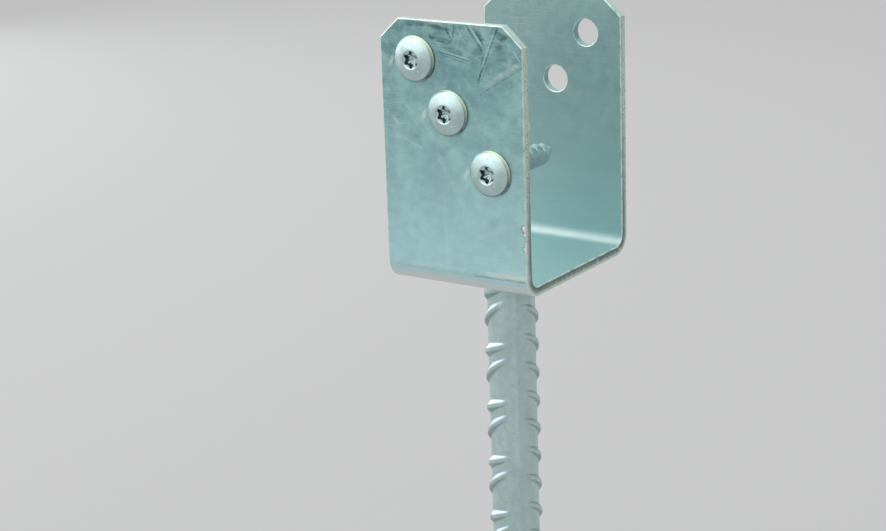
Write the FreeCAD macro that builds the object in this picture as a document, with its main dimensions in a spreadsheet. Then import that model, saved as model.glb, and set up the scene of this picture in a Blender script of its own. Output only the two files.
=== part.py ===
"""Timber post base: a folded U bracket on a ribbed anchor bar, with three pan-head screws.

Frame: +Z is up and the origin is the middle of the seat, the upper face of the bracket's web.
The flanges stand at -Y (front) and +Y (rear), and X runs along their width.
Lengths are in millimetres and angles in degrees.
"""
import FreeCAD
import Part
import Sketcher
import math
import os

from FreeCAD import Placement, Rotation, Vector

# Driving sizes: the alias of each spreadsheet cell and its value.
SIZES = {
    # Folded bracket.
    "inner_width": 71.0,            # clear width between the flanges, which takes the post
    "sheet_thickness": 4.0,
    "flange_width": 65.0,
    "flange_height": 102.6,         # from the seat to the top of a flange
    "bend_radius": 4.5,             # inside radius of both bends
    "corner_cut_width": 8.8,
    "corner_cut_height": 8.0,
    "hole_diameter": 11.0,
    "top_hole_margin": 16.3,        # from the front flange's near side edge to a hole's centre
    "top_hole_height": 87.1,        # and from the seat
    "middle_hole_margin": 30.9,
    "middle_hole_height": 67.0,
    "low_hole_margin": 15.3,
    "low_hole_height": 45.1,
    # Ribbed anchor bar.
    "core_diameter": 19.6,
    "bar_length": 200.0,
    "end_waste": 20.0,              # stock beyond each end, which is cut off after the ribs are on
    "bar_turn": 45.0,               # turn of the rib rows about the bar's axis
    "seam_width": 3.0,              # the two low ribs that run along the bar
    "seam_height": 0.55,
    "rib_height": 1.35,
    "rib_sink": 0.4,                # depth of a cross rib's foot below the core's surface
    "rib_foot": 6.2,                # length of a cross rib along the bar, at its foot
    "rib_crest": 1.7,               # and at its crest
    "rib_pair_spacing": 24.7,
    "shallow_rib_tilt": 24.0,       # tilt of each kind of cross rib out of the level plane
    "steep_rib_tilt": 41.0,
    "even_rib_tilt": 40.0,
    "shallow_rib_start": 11.1,      # depth of the first rib of each kind below the bar's top
    "steep_rib_start": -3.2,
    "even_rib_start": -0.8,
    "mixed_row_reach": 66.0,        # half the angle that a rib spans round the bar
    "even_row_reach": 82.0,
    # Weld bead between the bar and the web.
    "weld_leg": 5.0,
    # Pan-head screws.
    "head_diameter": 18.3,
    "head_rim": 1.0,                # height of the straight rim under the dome
    "head_height": 4.0,
    "dish_diameter": 7.9,           # bevelled mouth of the recess
    "dish_depth": 0.6,
    "recess_width": 6.75,           # across the tips of two opposite lobes
    "recess_lobe_radius": 0.58,
    "recess_flute_radius": 1.4,
    "recess_depth": 3.2,            # from the top of the dome
    "collar_diameter": 10.0,
    "collar_length": 6.0,
    "shank_diameter": 7.0,
    "screw_length": 45.0,           # from under the head to the tip
    "tip_length": 9.0,
    "tip_diameter": 1.0,            # the point is a little blunt
}

# Sideways place of each hole of the front flange: two are set off its left edge, one its right.
HOLE_SIDES = {
    "top": "(sizes.top_hole_margin - sizes.flange_width / 2)",
    "middle": "(sizes.middle_hole_margin - sizes.flange_width / 2)",
    "low": "(sizes.flange_width / 2 - sizes.low_hole_margin)",
}
RECESS_LOBES = 6
DOME_BANDS = 3                      # the screw's dome is turned as bands, each a straight chord
START, END, CENTRE = range(1, 4)    # the points of a sketch element
H_AXIS, V_AXIS = -1, -2             # a sketch's own axes
ORIGIN = (-1, 1)                    # and its origin

doc = FreeCAD.newDocument("timber_post_base")


def make_sheet():
    """Put every driving size into a spreadsheet cell with its alias."""
    sheet = doc.addObject("Spreadsheet::Sheet", "sizes")
    for row, (alias, value) in enumerate(SIZES.items(), start=1):
        sheet.set(f"A{row}", alias)
        sheet.set(f"B{row}", str(value))
        sheet.setAlias(f"B{row}", alias)
    doc.recompute()


def bind(thing, expressions):
    """Bind properties of an object to expressions of the sheet."""
    for name, expression in expressions.items():
        thing.setExpression(name, expression)


def add_body(name):
    body = doc.addObject("PartDesign::Body", name)
    body.Label = name
    return body


def origin_item(body, role):
    return next(item for item in body.Origin.OriginFeatures if item.Role == role)


def add_sketch(body, name, plane, offset=None):
    """Add a sketch on one of the body's own origin planes."""
    sketch = body.newObject("Sketcher::SketchObject", name)
    sketch.AttachmentSupport = [(origin_item(body, plane), "")]
    sketch.MapMode = "FlatFace"
    bind(sketch, offset or {})
    return sketch


def add_feature(body, kind, name, expressions=None, **settings):
    feature = body.newObject(f"PartDesign::{kind}", name)
    for key, value in settings.items():
        setattr(feature, key, value)
    bind(feature, expressions or {})
    return feature


def add_pattern(body, kind, name, originals, expressions=None, **settings):
    """Repeat features along or about the body's own Z axis."""
    doc.recompute()                 # a pattern reads the shape that it adds to
    line = {"LinearPattern": "Direction", "PolarPattern": "Axis"}[kind]
    settings[line] = (origin_item(body, "Z_Axis"), [""])
    pattern = add_feature(body, kind, name, expressions, Originals=originals, **settings)
    body.Tip = pattern
    return pattern


def relate(sketch, *relations):
    """Add constraints that hold no size: a kind and the elements and points it joins."""
    for kind, *elements in relations:
        sketch.addConstraint(Sketcher.Constraint(kind, *elements))


def measure(sketch, kind, *elements, size):
    """Add a constraint whose value is an expression of the sheet."""
    value = doc.getObject("sizes").evalExpression(size)
    index = sketch.addConstraint(Sketcher.Constraint(kind, *elements, float(value)))
    sketch.setExpression(f"Constraints[{index}]", size)


def draw_line(sketch, start, end):
    return sketch.addGeometry(Part.LineSegment(Vector(*start), Vector(*end)), False)


def draw_arc(sketch, centre, radius, first, last):
    """Draw a round arc counterclockwise between two angles."""
    circle = Part.Circle(Vector(*centre), Vector(0, 0, 1), radius)
    arc = Part.ArcOfCircle(circle, math.radians(first), math.radians(last))
    return sketch.addGeometry(arc, False)


def draw_circle(sketch, diameter, across="0", up="0"):
    """Draw a circle whose diameter and centre are expressions of the sheet."""
    value = doc.getObject("sizes").evalExpression
    circle = Part.Circle(Vector(value(across), value(up)), Vector(0, 0, 1), value(diameter) / 2)
    index = sketch.addGeometry(circle, False)
    measure(sketch, "Diameter", index, size=diameter)
    if across == up == "0":
        relate(sketch, ("Coincident", index, CENTRE, *ORIGIN))
        return
    measure(sketch, "DistanceX", *ORIGIN, index, CENTRE, size=across)
    measure(sketch, "DistanceY", *ORIGIN, index, CENTRE, size=up)


def draw_outline(sketch, corners):
    """Draw a closed outline of straight lines, and join their ends."""
    lines = [draw_line(sketch, corner, corners[(index + 1) % len(corners)])
             for index, corner in enumerate(corners)]
    relate(sketch, *[("Coincident", line, END, lines[(index + 1) % len(lines)], START)
                     for index, line in enumerate(lines)])
    return lines


def build_bracket():
    """The sheet's U section, its corner cuts, and the holes of both flanges."""
    body = add_body("folded_bracket")
    section = add_sketch(body, "fold_section", "YZ_Plane")
    draw_fold_section(section)
    add_feature(body, "Pad", "folded_sheet", {"Length": "sizes.flange_width"},
                Profile=section, SideType="Symmetric")

    corners = add_sketch(body, "corner_cuts_outline", "XZ_Plane")
    for side in (-1, 1):
        draw_corner_cut(corners, side)
    add_feature(body, "Pocket", "corner_cuts", Profile=corners, Type="ThroughAll",
                SideType="Symmetric")

    holes = add_sketch(body, "hole_row", "XZ_Plane")
    for row, side in HOLE_SIDES.items():
        draw_circle(holes, "sizes.hole_diameter", side, f"sizes.{row}_hole_height")
    front = add_feature(body, "Pocket", "front_holes", Profile=holes, Type="ThroughAll",
                        Reversed=True)
    # The rear flange has the same row, turned half round, so that facing screws miss each other.
    add_pattern(body, "PolarPattern", "rear_holes", [front], Angle=360, Occurrences=2)
    return body


def draw_fold_section(sketch):
    """Draw the U of constant thickness, with the seat on the horizontal axis."""
    half, thick = SIZES["inner_width"] / 2, SIZES["sheet_thickness"]
    bend, top = SIZES["bend_radius"], SIZES["flange_height"]
    middle = half - bend
    outer_front = draw_line(sketch, (-half - thick, top), (-half - thick, bend))
    outer_front_bend = draw_arc(sketch, (-middle, bend), bend + thick, 180, 270)
    underside = draw_line(sketch, (-middle, -thick), (middle, -thick))
    outer_rear_bend = draw_arc(sketch, (middle, bend), bend + thick, 270, 360)
    outer_rear = draw_line(sketch, (half + thick, bend), (half + thick, top))
    rear_top = draw_line(sketch, (half + thick, top), (half, top))
    inner_rear = draw_line(sketch, (half, top), (half, bend))
    inner_rear_bend = draw_arc(sketch, (middle, bend), bend, 270, 360)
    seat = draw_line(sketch, (middle, 0), (-middle, 0))
    inner_front_bend = draw_arc(sketch, (-middle, bend), bend, 180, 270)
    inner_front = draw_line(sketch, (-half, bend), (-half, top))
    front_top = draw_line(sketch, (-half, top), (-half - thick, top))

    relate(sketch,
           ("Tangent", outer_front, END, outer_front_bend, START),
           ("Tangent", outer_front_bend, END, underside, START),
           ("Tangent", underside, END, outer_rear_bend, START),
           ("Tangent", outer_rear_bend, END, outer_rear, START),
           ("Coincident", outer_rear, END, rear_top, START),
           ("Coincident", rear_top, END, inner_rear, START),
           ("Tangent", inner_rear, END, inner_rear_bend, END),
           ("Tangent", inner_rear_bend, START, seat, START),
           ("Tangent", seat, END, inner_front_bend, END),
           ("Tangent", inner_front_bend, START, inner_front, START),
           ("Coincident", inner_front, END, front_top, START),
           ("Coincident", front_top, END, outer_front, START),
           ("Coincident", outer_front_bend, CENTRE, inner_front_bend, CENTRE),
           ("Coincident", outer_rear_bend, CENTRE, inner_rear_bend, CENTRE),
           ("Equal", inner_front_bend, inner_rear_bend),
           ("PointOnObject", seat, START, H_AXIS))
    relate(sketch, *[("Vertical", line) for line in (outer_front, inner_front, inner_rear, outer_rear)])
    relate(sketch, *[("Horizontal", line) for line in (front_top, rear_top, seat, underside)])
    measure(sketch, "Radius", inner_front_bend, size="sizes.bend_radius")
    measure(sketch, "DistanceX", outer_front, START, inner_front, END, size="sizes.sheet_thickness")
    measure(sketch, "DistanceX", inner_front, START, inner_rear, END, size="sizes.inner_width")
    measure(sketch, "DistanceX", *ORIGIN, inner_rear, END, size="sizes.inner_width / 2")
    measure(sketch, "DistanceY", *ORIGIN, outer_front, START, size="sizes.flange_height")
    measure(sketch, "DistanceY", *ORIGIN, outer_rear, END, size="sizes.flange_height")


def draw_corner_cut(sketch, side):
    """Draw the triangle that is cut off a flange's top corner."""
    edge, top = side * SIZES["flange_width"] / 2, SIZES["flange_height"]
    inboard = edge - side * SIZES["corner_cut_width"]
    below = top - SIZES["corner_cut_height"]
    top_line, slope, side_line = draw_outline(sketch, [(edge, top), (inboard, top), (edge, below)])
    relate(sketch, ("Horizontal", top_line), ("Vertical", side_line))
    measure(sketch, "DistanceX", *ORIGIN, top_line, START, size=f"{side} * sizes.flange_width / 2")
    measure(sketch, "DistanceX", slope, START, side_line, START,
            size=f"{side} * sizes.corner_cut_width")
    measure(sketch, "DistanceY", *ORIGIN, top_line, START, size="sizes.flange_height")
    measure(sketch, "DistanceY", side_line, START, side_line, END, size="sizes.corner_cut_height")


def build_anchor_bar():
    """The bar's core, its two seams, and its cross ribs, with both ends cut square."""
    body = add_body("anchor_bar")
    stock_top = {".AttachmentOffset.Base.z": "sizes.end_waste"}
    stock_length = {"Length": "sizes.bar_length + 2 * sizes.end_waste"}
    core = add_sketch(body, "core_circle", "XY_Plane", stock_top)
    draw_circle(core, "sizes.core_diameter")
    add_feature(body, "Pad", "core", stock_length, Profile=core, Reversed=True)

    seams = add_sketch(body, "seams_outline", "XY_Plane", stock_top)
    draw_centred_rectangle(seams, "sizes.seam_width", "sizes.core_diameter + 2 * sizes.seam_height")
    add_feature(body, "Pad", "seams", stock_length, Profile=seams, Reversed=True)

    # One row mixes shallow and steep ribs, and the opposite row has ribs of one tilt.
    shallow = add_rib(body, "shallow", -1, "mixed")
    steep = add_rib(body, "steep", -1, "mixed")
    even = add_rib(body, "even", 1, "even")
    repeat_rib(body, "shallow", shallow, "sizes.rib_pair_spacing")
    repeat_rib(body, "steep", steep, "sizes.rib_pair_spacing")
    repeat_rib(body, "even", even, "sizes.rib_pair_spacing / 2")
    trim_bar(body)

    body.Placement = Placement(Vector(0, 0, -SIZES["sheet_thickness"]),
                               Rotation(Vector(0, 0, 1), SIZES["bar_turn"]))
    bind(body, {".Placement.Base.z": "-sizes.sheet_thickness",
                ".Placement.Rotation.Angle": "sizes.bar_turn"})
    return body


def draw_centred_rectangle(sketch, width, length):
    value = doc.getObject("sizes").evalExpression
    right, top = value(width) / 2, value(length) / 2
    low, far, high, near = draw_outline(sketch, [(-right, -top), (right, -top), (right, top),
                                                 (-right, top)])
    relate(sketch, ("Horizontal", low), ("Horizontal", high), ("Vertical", far), ("Vertical", near),
           ("Symmetric", low, START, high, START, *ORIGIN))
    measure(sketch, "DistanceX", low, START, low, END, size=width)
    measure(sketch, "DistanceY", far, START, far, END, size=length)


def add_rib(body, kind, side, row):
    """Loft one crescent rib.

    The rib is a tilted slice of a round rod that is a little thinner than the core and set off
    sideways, so it stands proud at the middle of its row and sinks into the core at both ends.
    The slice has sloping flanks: each end section is smaller than the two at the crest.
    """
    offset = f"(sizes.rib_height / (1 - cos(sizes.{row}_row_reach)))"
    crest_radius = f"(sizes.core_diameter / 2 + sizes.rib_height - {offset})"
    foot_radius = f"({crest_radius} - sizes.rib_height - sizes.rib_sink)"
    sections = [("foot_below", foot_radius, "-sizes.rib_foot / 2"),
                ("crest_below", crest_radius, "-sizes.rib_crest / 2"),
                ("crest_above", crest_radius, "sizes.rib_crest / 2"),
                ("foot_above", foot_radius, "sizes.rib_foot / 2")]
    tilt = f"sizes.{kind}_rib_tilt"
    sketches = []
    for name, radius, rise in sections:
        sketch = add_sketch(body, f"{kind}_rib_{name}", "XY_Plane")
        sketch.AttachmentOffset = Placement(Vector(), Rotation(Vector(1, 0, 0), -1))
        bind(sketch, {".AttachmentOffset.Base.z": f"{rise} - sizes.{kind}_rib_start",
                      ".AttachmentOffset.Rotation.Angle": f"-{tilt}"})
        draw_tilted_circle(sketch, radius, f"{side} * {offset}", tilt)
        sketches.append(sketch)
    return add_feature(body, "AdditiveLoft", f"{kind}_rib", Profile=sketches[0],
                       Sections=sketches[1:], Ruled=True)


def draw_tilted_circle(sketch, radius, across, tilt):
    """Draw the ellipse that looks round along the bar, on a sketch tilted about its X axis."""
    value = doc.getObject("sizes").evalExpression
    long_radius = f"{radius} / cos({tilt})"
    centre = Vector(value(across), 0)
    ellipse = sketch.addGeometry(Part.Ellipse(centre + Vector(0, value(long_radius)),
                                              centre + Vector(value(radius), 0), centre), False)
    sketch.exposeInternalGeometry(ellipse)
    long_axis, short_axis = ellipse + 1, ellipse + 2
    relate(sketch, ("PointOnObject", ellipse, CENTRE, H_AXIS), ("Vertical", long_axis))
    measure(sketch, "DistanceX", *ORIGIN, ellipse, CENTRE, size=across)
    measure(sketch, "Distance", long_axis, size=f"2 * {long_radius}")
    measure(sketch, "Distance", short_axis, size=f"2 * {radius}")


def repeat_rib(body, kind, rib, spacing):
    """Repeat a rib down the bar, as far as its lower edge still meets the bar."""
    rise = f"(sizes.core_diameter / 2 * tan(sizes.{kind}_rib_tilt) + sizes.rib_foot / 2)"
    count = f"floor((sizes.bar_length + {rise} - sizes.{kind}_rib_start) / ({spacing})) + 1"
    add_pattern(body, "LinearPattern", f"{kind}_ribs", [rib],
                {"Offset": spacing, "Occurrences": count}, Mode="Spacing", Reversed=True)


def trim_bar(body):
    """Cut the ribs off square at both ends, and off the land where the weld lies."""
    clear = "sizes.core_diameter + 4 * sizes.rib_height"
    top = add_sketch(body, "top_trim_circle", "XY_Plane")
    draw_circle(top, clear)
    add_feature(body, "Pocket", "top_trim", Profile=top, Type="ThroughAll", Reversed=True)

    bottom = add_sketch(body, "bottom_trim_circle", "XY_Plane",
                        {".AttachmentOffset.Base.z": "-sizes.bar_length"})
    draw_circle(bottom, clear)
    add_feature(body, "Pocket", "bottom_trim", Profile=bottom, Type="ThroughAll")

    land = add_sketch(body, "weld_land_ring", "XY_Plane")
    draw_circle(land, "sizes.core_diameter")
    draw_circle(land, clear)
    add_feature(body, "Pocket", "weld_land", {"Length": "sizes.weld_leg"}, Profile=land)


def build_weld():
    """The fillet weld round the bar's top end, against the underside of the web."""
    body = add_body("weld_bead")
    sketch = add_sketch(body, "weld_section", "XZ_Plane")
    core, leg = SIZES["core_diameter"] / 2, SIZES["weld_leg"]
    top, _, side = draw_outline(sketch, [(core, 0), (core + leg, 0), (core, -leg)])
    relate(sketch, ("PointOnObject", top, START, H_AXIS), ("Horizontal", top), ("Vertical", side),
           ("Equal", top, side))
    measure(sketch, "DistanceX", *ORIGIN, top, START, size="sizes.core_diameter / 2")
    measure(sketch, "DistanceX", top, START, top, END, size="sizes.weld_leg")
    add_feature(body, "Revolution", "weld_ring", Profile=sketch, Angle=360,
                ReferenceAxis=(sketch, ["V_Axis"]))
    bind(body, {".Placement.Base.z": "-sizes.sheet_thickness"})
    return body


def build_screw(row):
    """A pan-head screw, seated on the front flange in one hole of the row."""
    body = add_body(f"{row}_screw")
    profile = add_sketch(body, f"{row}_screw_profile", "XZ_Plane")
    draw_screw_profile(profile)
    add_feature(body, "Revolution", f"{row}_screw_blank", Profile=profile, Angle=360,
                ReferenceAxis=(profile, ["V_Axis"]))

    lobe = add_sketch(body, f"{row}_screw_lobe", "XY_Plane",
                      {".AttachmentOffset.Base.z": "sizes.head_height"})
    draw_recess_lobe(lobe)
    pocket = add_feature(body, "Pocket", f"{row}_screw_recess_lobe",
                         {"Length": "sizes.recess_depth"}, Profile=lobe)
    add_pattern(body, "PolarPattern", f"{row}_screw_recess", [pocket], Angle=360,
                Occurrences=RECESS_LOBES)

    body.Placement = Placement(Vector(), Rotation(Vector(1, 0, 0), 90))
    bind(body, {".Placement.Base.x": HOLE_SIDES[row],
                ".Placement.Base.y": "-(sizes.inner_width / 2 + sizes.sheet_thickness)",
                ".Placement.Base.z": f"sizes.{row}_hole_height"})
    return body


def draw_screw_profile(sketch):
    """Draw half of the screw's section: point, shank, collar, head and bevelled mouth."""
    head, rim = SIZES["head_diameter"] / 2, SIZES["head_rim"]
    collar, collar_end = SIZES["collar_diameter"] / 2, -SIZES["collar_length"]
    shank, tip = SIZES["shank_diameter"] / 2, -SIZES["screw_length"]
    blunt, point_end = SIZES["tip_diameter"] / 2, SIZES["tip_length"] - SIZES["screw_length"]
    mouth, dish = SIZES["dish_diameter"] / 2, SIZES["dish_depth"]
    rise = SIZES["head_height"] - rim
    dome = (head ** 2 + rise ** 2) / (2 * rise)
    dome_centre = SIZES["head_height"] - dome
    low, high = math.acos(head / dome), math.acos(mouth / dome)
    floor = dome_centre + dome * math.sin(high) - dish

    blunt_end = draw_line(sketch, (0, tip), (blunt, tip))
    point = draw_line(sketch, (blunt, tip), (shank, point_end))
    shank_side = draw_line(sketch, (shank, point_end), (shank, collar_end))
    collar_step = draw_line(sketch, (shank, collar_end), (collar, collar_end))
    collar_side = draw_line(sketch, (collar, collar_end), (collar, 0))
    head_seat = draw_line(sketch, (collar, 0), (head, 0))
    rim_side = draw_line(sketch, (head, 0), (head, rim))
    bends = [Vector(dome * math.cos(angle), dome_centre + dome * math.sin(angle))
             for angle in (low + (high - low) * band / DOME_BANDS
                           for band in range(DOME_BANDS + 1))]
    bands = [draw_line(sketch, bends[band], bends[band + 1]) for band in range(DOME_BANDS)]
    bevel = draw_line(sketch, bends[-1], (mouth - dish, floor))
    dish_floor = draw_line(sketch, (mouth - dish, floor), (0, floor))
    axis = draw_line(sketch, (0, floor), (0, tip))
    dome_arc = draw_arc(sketch, (0, dome_centre), dome, math.degrees(low), math.degrees(high))
    sketch.toggleConstruction(dome_arc)

    chain = [blunt_end, point, shank_side, collar_step, collar_side, head_seat, rim_side,
             *bands, bevel, dish_floor, axis]
    relate(sketch, *[("Coincident", line, END, chain[(index + 1) % len(chain)], START)
                     for index, line in enumerate(chain)])
    relate(sketch,
           ("PointOnObject", blunt_end, START, V_AXIS),
           ("PointOnObject", head_seat, START, H_AXIS),
           ("PointOnObject", dome_arc, CENTRE, V_AXIS),
           ("Coincident", dome_arc, START, bands[0], START),
           ("Coincident", dome_arc, END, bands[-1], END))
    # The bands between are chords of the dome, all as long as each other.
    relate(sketch, *[("PointOnObject", band, END, dome_arc) for band in bands[:-1]],
           *[("Equal", bands[0], band) for band in bands[1:]])
    relate(sketch, *[("Vertical", line) for line in (shank_side, collar_side, rim_side, axis)])
    relate(sketch, *[("Horizontal", line) for line in (blunt_end, collar_step, head_seat, dish_floor)])
    measure(sketch, "DistanceY", blunt_end, START, *ORIGIN, size="sizes.screw_length")
    measure(sketch, "DistanceX", *ORIGIN, blunt_end, END, size="sizes.tip_diameter / 2")
    measure(sketch, "DistanceY", point, START, point, END, size="sizes.tip_length")
    measure(sketch, "DistanceX", *ORIGIN, shank_side, START, size="sizes.shank_diameter / 2")
    measure(sketch, "DistanceX", *ORIGIN, collar_side, START, size="sizes.collar_diameter / 2")
    measure(sketch, "DistanceY", collar_side, START, collar_side, END, size="sizes.collar_length")
    measure(sketch, "DistanceX", *ORIGIN, rim_side, START, size="sizes.head_diameter / 2")
    measure(sketch, "DistanceY", rim_side, START, rim_side, END, size="sizes.head_rim")
    rise_size = "(sizes.head_height - sizes.head_rim)"
    measure(sketch, "Radius", dome_arc,
            size=f"((sizes.head_diameter / 2) ^ 2 + {rise_size} ^ 2) / (2 * {rise_size})")
    measure(sketch, "DistanceX", *ORIGIN, bevel, START, size="sizes.dish_diameter / 2")
    measure(sketch, "DistanceX", bevel, END, bevel, START, size="sizes.dish_depth")
    measure(sketch, "DistanceY", bevel, END, bevel, START, size="sizes.dish_depth")


def draw_recess_lobe(sketch):
    """Draw one lobe of the six-lobe recess: a sector closed by two flutes and a round tip."""
    lobe, flute = SIZES["recess_lobe_radius"], SIZES["recess_flute_radius"]
    lobe_centre = SIZES["recess_width"] / 2 - lobe
    half_angle = 180 / RECESS_LOBES
    side_angle = math.radians(90 - half_angle)
    # The flute's centre lies on the sector's side, where the flute touches the tip.
    across = lobe_centre * math.cos(side_angle)
    flute_centre = lobe_centre * math.sin(side_angle) + math.sqrt((lobe + flute) ** 2 - across ** 2)
    out, up = flute_centre * math.cos(side_angle), flute_centre * math.sin(side_angle)
    touch = math.degrees(math.atan2(up - lobe_centre, out))
    inner = flute_centre - flute
    near, far = inner * math.cos(side_angle), inner * math.sin(side_angle)

    right_side = draw_line(sketch, (0, 0), (near, far))
    right_flute = draw_arc(sketch, (out, up), flute, 180 + touch, 270 - half_angle)
    tip = draw_arc(sketch, (0, lobe_centre), lobe, touch, 180 - touch)
    left_flute = draw_arc(sketch, (-out, up), flute, 270 + half_angle, 360 - touch)
    left_side = draw_line(sketch, (0, 0), (-near, far))
    relate(sketch,
           ("Coincident", right_side, START, *ORIGIN),
           ("Coincident", left_side, START, *ORIGIN),
           ("Coincident", right_side, END, right_flute, END),
           ("Coincident", left_side, END, left_flute, START),
           ("Tangent", right_flute, START, tip, START),
           ("Tangent", left_flute, END, tip, END),
           ("Equal", right_flute, left_flute),
           ("PointOnObject", tip, CENTRE, V_AXIS),
           ("PointOnObject", right_flute, CENTRE, right_side),
           ("PointOnObject", left_flute, CENTRE, left_side),
           ("Angle", right_side, side_angle),
           ("Angle", left_side, math.pi - side_angle))
    measure(sketch, "Radius", tip, size="sizes.recess_lobe_radius")
    measure(sketch, "Radius", right_flute, size="sizes.recess_flute_radius")
    measure(sketch, "DistanceY", *ORIGIN, tip, CENTRE,
            size="sizes.recess_width / 2 - sizes.recess_lobe_radius")


def check_and_export(bodies):
    """Stop on any failed object or bad solid, then write one STEP file for each body."""
    doc.recompute()
    failed = [item.Name for item in doc.Objects if {"Invalid", "Error"} & set(item.State)]
    if failed:
        raise RuntimeError(f"failed to recompute: {failed}")
    for body in bodies:
        shape = body.Shape
        if shape.isNull() or not shape.isValid() or len(shape.Solids) != 1:
            raise RuntimeError(f"{body.Label} isn't one valid solid")
    os.makedirs("parts", exist_ok=True)
    for body in bodies:
        body.Shape.exportStep(f"parts/{body.Label}.step")
        box = body.Shape.BoundBox
        print(f"{body.Label:16s} volume {body.Shape.Volume:9.1f}  "
              f"X {box.XMin:7.2f} {box.XMax:7.2f}  Y {box.YMin:7.2f} {box.YMax:7.2f}  "
              f"Z {box.ZMin:8.2f} {box.ZMax:7.2f}  faces {len(body.Shape.Faces)}")


make_sheet()
parts = [build_bracket(), build_anchor_bar(), build_weld()]
parts += [build_screw(row) for row in HOLE_SIDES]
check_and_export(parts)
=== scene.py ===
import math

import bmesh
import bpy
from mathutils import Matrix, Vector, noise
from mathutils.geometry import delaunay_2d_cdt


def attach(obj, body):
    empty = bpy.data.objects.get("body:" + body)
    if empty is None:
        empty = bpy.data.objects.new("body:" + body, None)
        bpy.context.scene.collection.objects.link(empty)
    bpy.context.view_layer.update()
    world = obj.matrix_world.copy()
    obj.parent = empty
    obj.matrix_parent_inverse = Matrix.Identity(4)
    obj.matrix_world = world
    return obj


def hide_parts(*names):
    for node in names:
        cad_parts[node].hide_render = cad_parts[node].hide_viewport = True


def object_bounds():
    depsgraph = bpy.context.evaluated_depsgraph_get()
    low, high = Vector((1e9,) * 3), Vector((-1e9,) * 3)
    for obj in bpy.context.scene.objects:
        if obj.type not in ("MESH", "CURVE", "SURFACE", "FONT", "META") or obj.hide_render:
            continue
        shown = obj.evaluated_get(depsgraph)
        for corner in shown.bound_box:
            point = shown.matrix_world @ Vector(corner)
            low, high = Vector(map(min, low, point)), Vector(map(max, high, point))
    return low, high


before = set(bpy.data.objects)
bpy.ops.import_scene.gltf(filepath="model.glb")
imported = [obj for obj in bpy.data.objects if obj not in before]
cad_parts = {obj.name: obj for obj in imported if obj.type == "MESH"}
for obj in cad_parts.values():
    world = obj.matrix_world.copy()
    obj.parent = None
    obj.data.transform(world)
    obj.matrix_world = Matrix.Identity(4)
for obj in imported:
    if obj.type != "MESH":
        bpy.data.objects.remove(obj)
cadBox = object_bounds()
mm = 0.001


class Wire:    # a node's output that can stand in a sum
    def __init__(self, maker, socket):
        self.maker, self.socket = maker, socket

    def calc(self, operation, *others):
        return self.maker.math(operation, self, *others)

    def __add__(self, other): return self.calc("ADD", other)
    def __radd__(self, other): return self.calc("ADD", other)
    def __sub__(self, other): return self.calc("SUBTRACT", other)
    def __rsub__(self, other): return self.maker.math("SUBTRACT", other, self)
    def __mul__(self, other): return self.calc("MULTIPLY", other)
    def __rmul__(self, other): return self.calc("MULTIPLY", other)
    def __truediv__(self, other): return self.calc("DIVIDE", other)
    def __pow__(self, other): return self.calc("POWER", other)
    def __neg__(self): return self.calc("MULTIPLY", -1)
    def __abs__(self): return self.calc("ABSOLUTE")

    def ramp(self, low, high, start=0.0, end=1.0):    # start below low, end above high, smooth between
        return self.maker.add("MapRange", {"interpolation_type": "SMOOTHSTEP"},
                              {0: self, 1: low, 2: high, 3: start, 4: end})


class Nodes:    # a node tree of either kind, and short ways to fill it
    def __init__(self, tree):
        self.tree = tree

    def add(self, kind, settings=None, inputs=None, out=0):
        node = self.tree.nodes.new(kind if kind.startswith("GeometryNode") else "ShaderNode" + kind)
        for key, value in (settings or {}).items():
            setattr(node, key, value)
        for key, value in (inputs or {}).items():
            for one in (value if isinstance(value, list) else [value]):
                if isinstance(one, Wire):
                    self.tree.links.new(one.socket, node.inputs[key])
                else:
                    node.inputs[key].default_value = one
        return Wire(self, node.outputs[out]) if node.outputs else None

    def math(self, operation, *values):
        return self.add("Math", {"operation": operation}, dict(enumerate(values)))

    def split(self, vector):
        node = self.add("SeparateXYZ", inputs={0: vector}).socket.node
        return [Wire(self, node.outputs[axis]) for axis in range(3)]


class Finish(Nodes):    # the nodes of a material or a world
    def __init__(self, owner):
        owner.use_nodes = True
        super().__init__(owner.node_tree)
        self.owner = owner
        self.tree.nodes.clear()

    def place(self):    # the point on the object, in millimetres
        return self.add("VectorMath", {"operation": "SCALE"},
                        {0: self.add("TexCoord", out="Object"), "Scale": 1 / mm})

    def normal(self):    # the surface's direction in x, y and z
        return self.split(self.add("TexCoord", out="Normal"))

    def turn(self, vector, angles=(0, 0, 0), scale=(1, 1, 1), shift=(0, 0, 0)):
        return self.add("Mapping", inputs={"Vector": vector, "Location": shift, "Scale": scale,
                                           "Rotation": tuple(math.radians(a) for a in angles)})

    def cloud(self, vector, size, detail=2.0, rough=0.5, warp=0.0):    # noise of one size in mm
        return self.add("TexNoise", inputs={"Vector": vector, "Scale": 1 / size, "Detail": detail,
                                            "Roughness": rough, "Distortion": warp})

    def mix(self, factor, first, second):    # two colours
        first, second = [c if isinstance(c, Wire) else (*c, 1) for c in (first, second)]
        return self.add("Mix", {"data_type": "RGBA"}, {0: factor, 6: first, 7: second}, out=2)

    def bump(self, height, strength, distance):
        return self.add("Bump", inputs={"Height": height, "Strength": strength,
                                        "Distance": distance * mm})

    def close(self, **sockets):    # ends in the metal's shader and gives the material
        shader = self.add("BsdfPrincipled", inputs={
            key.replace("_", " ").title(): value for key, value in sockets.items()})
        self.add("OutputMaterial", inputs={"Surface": shader})
        return self.owner


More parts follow.
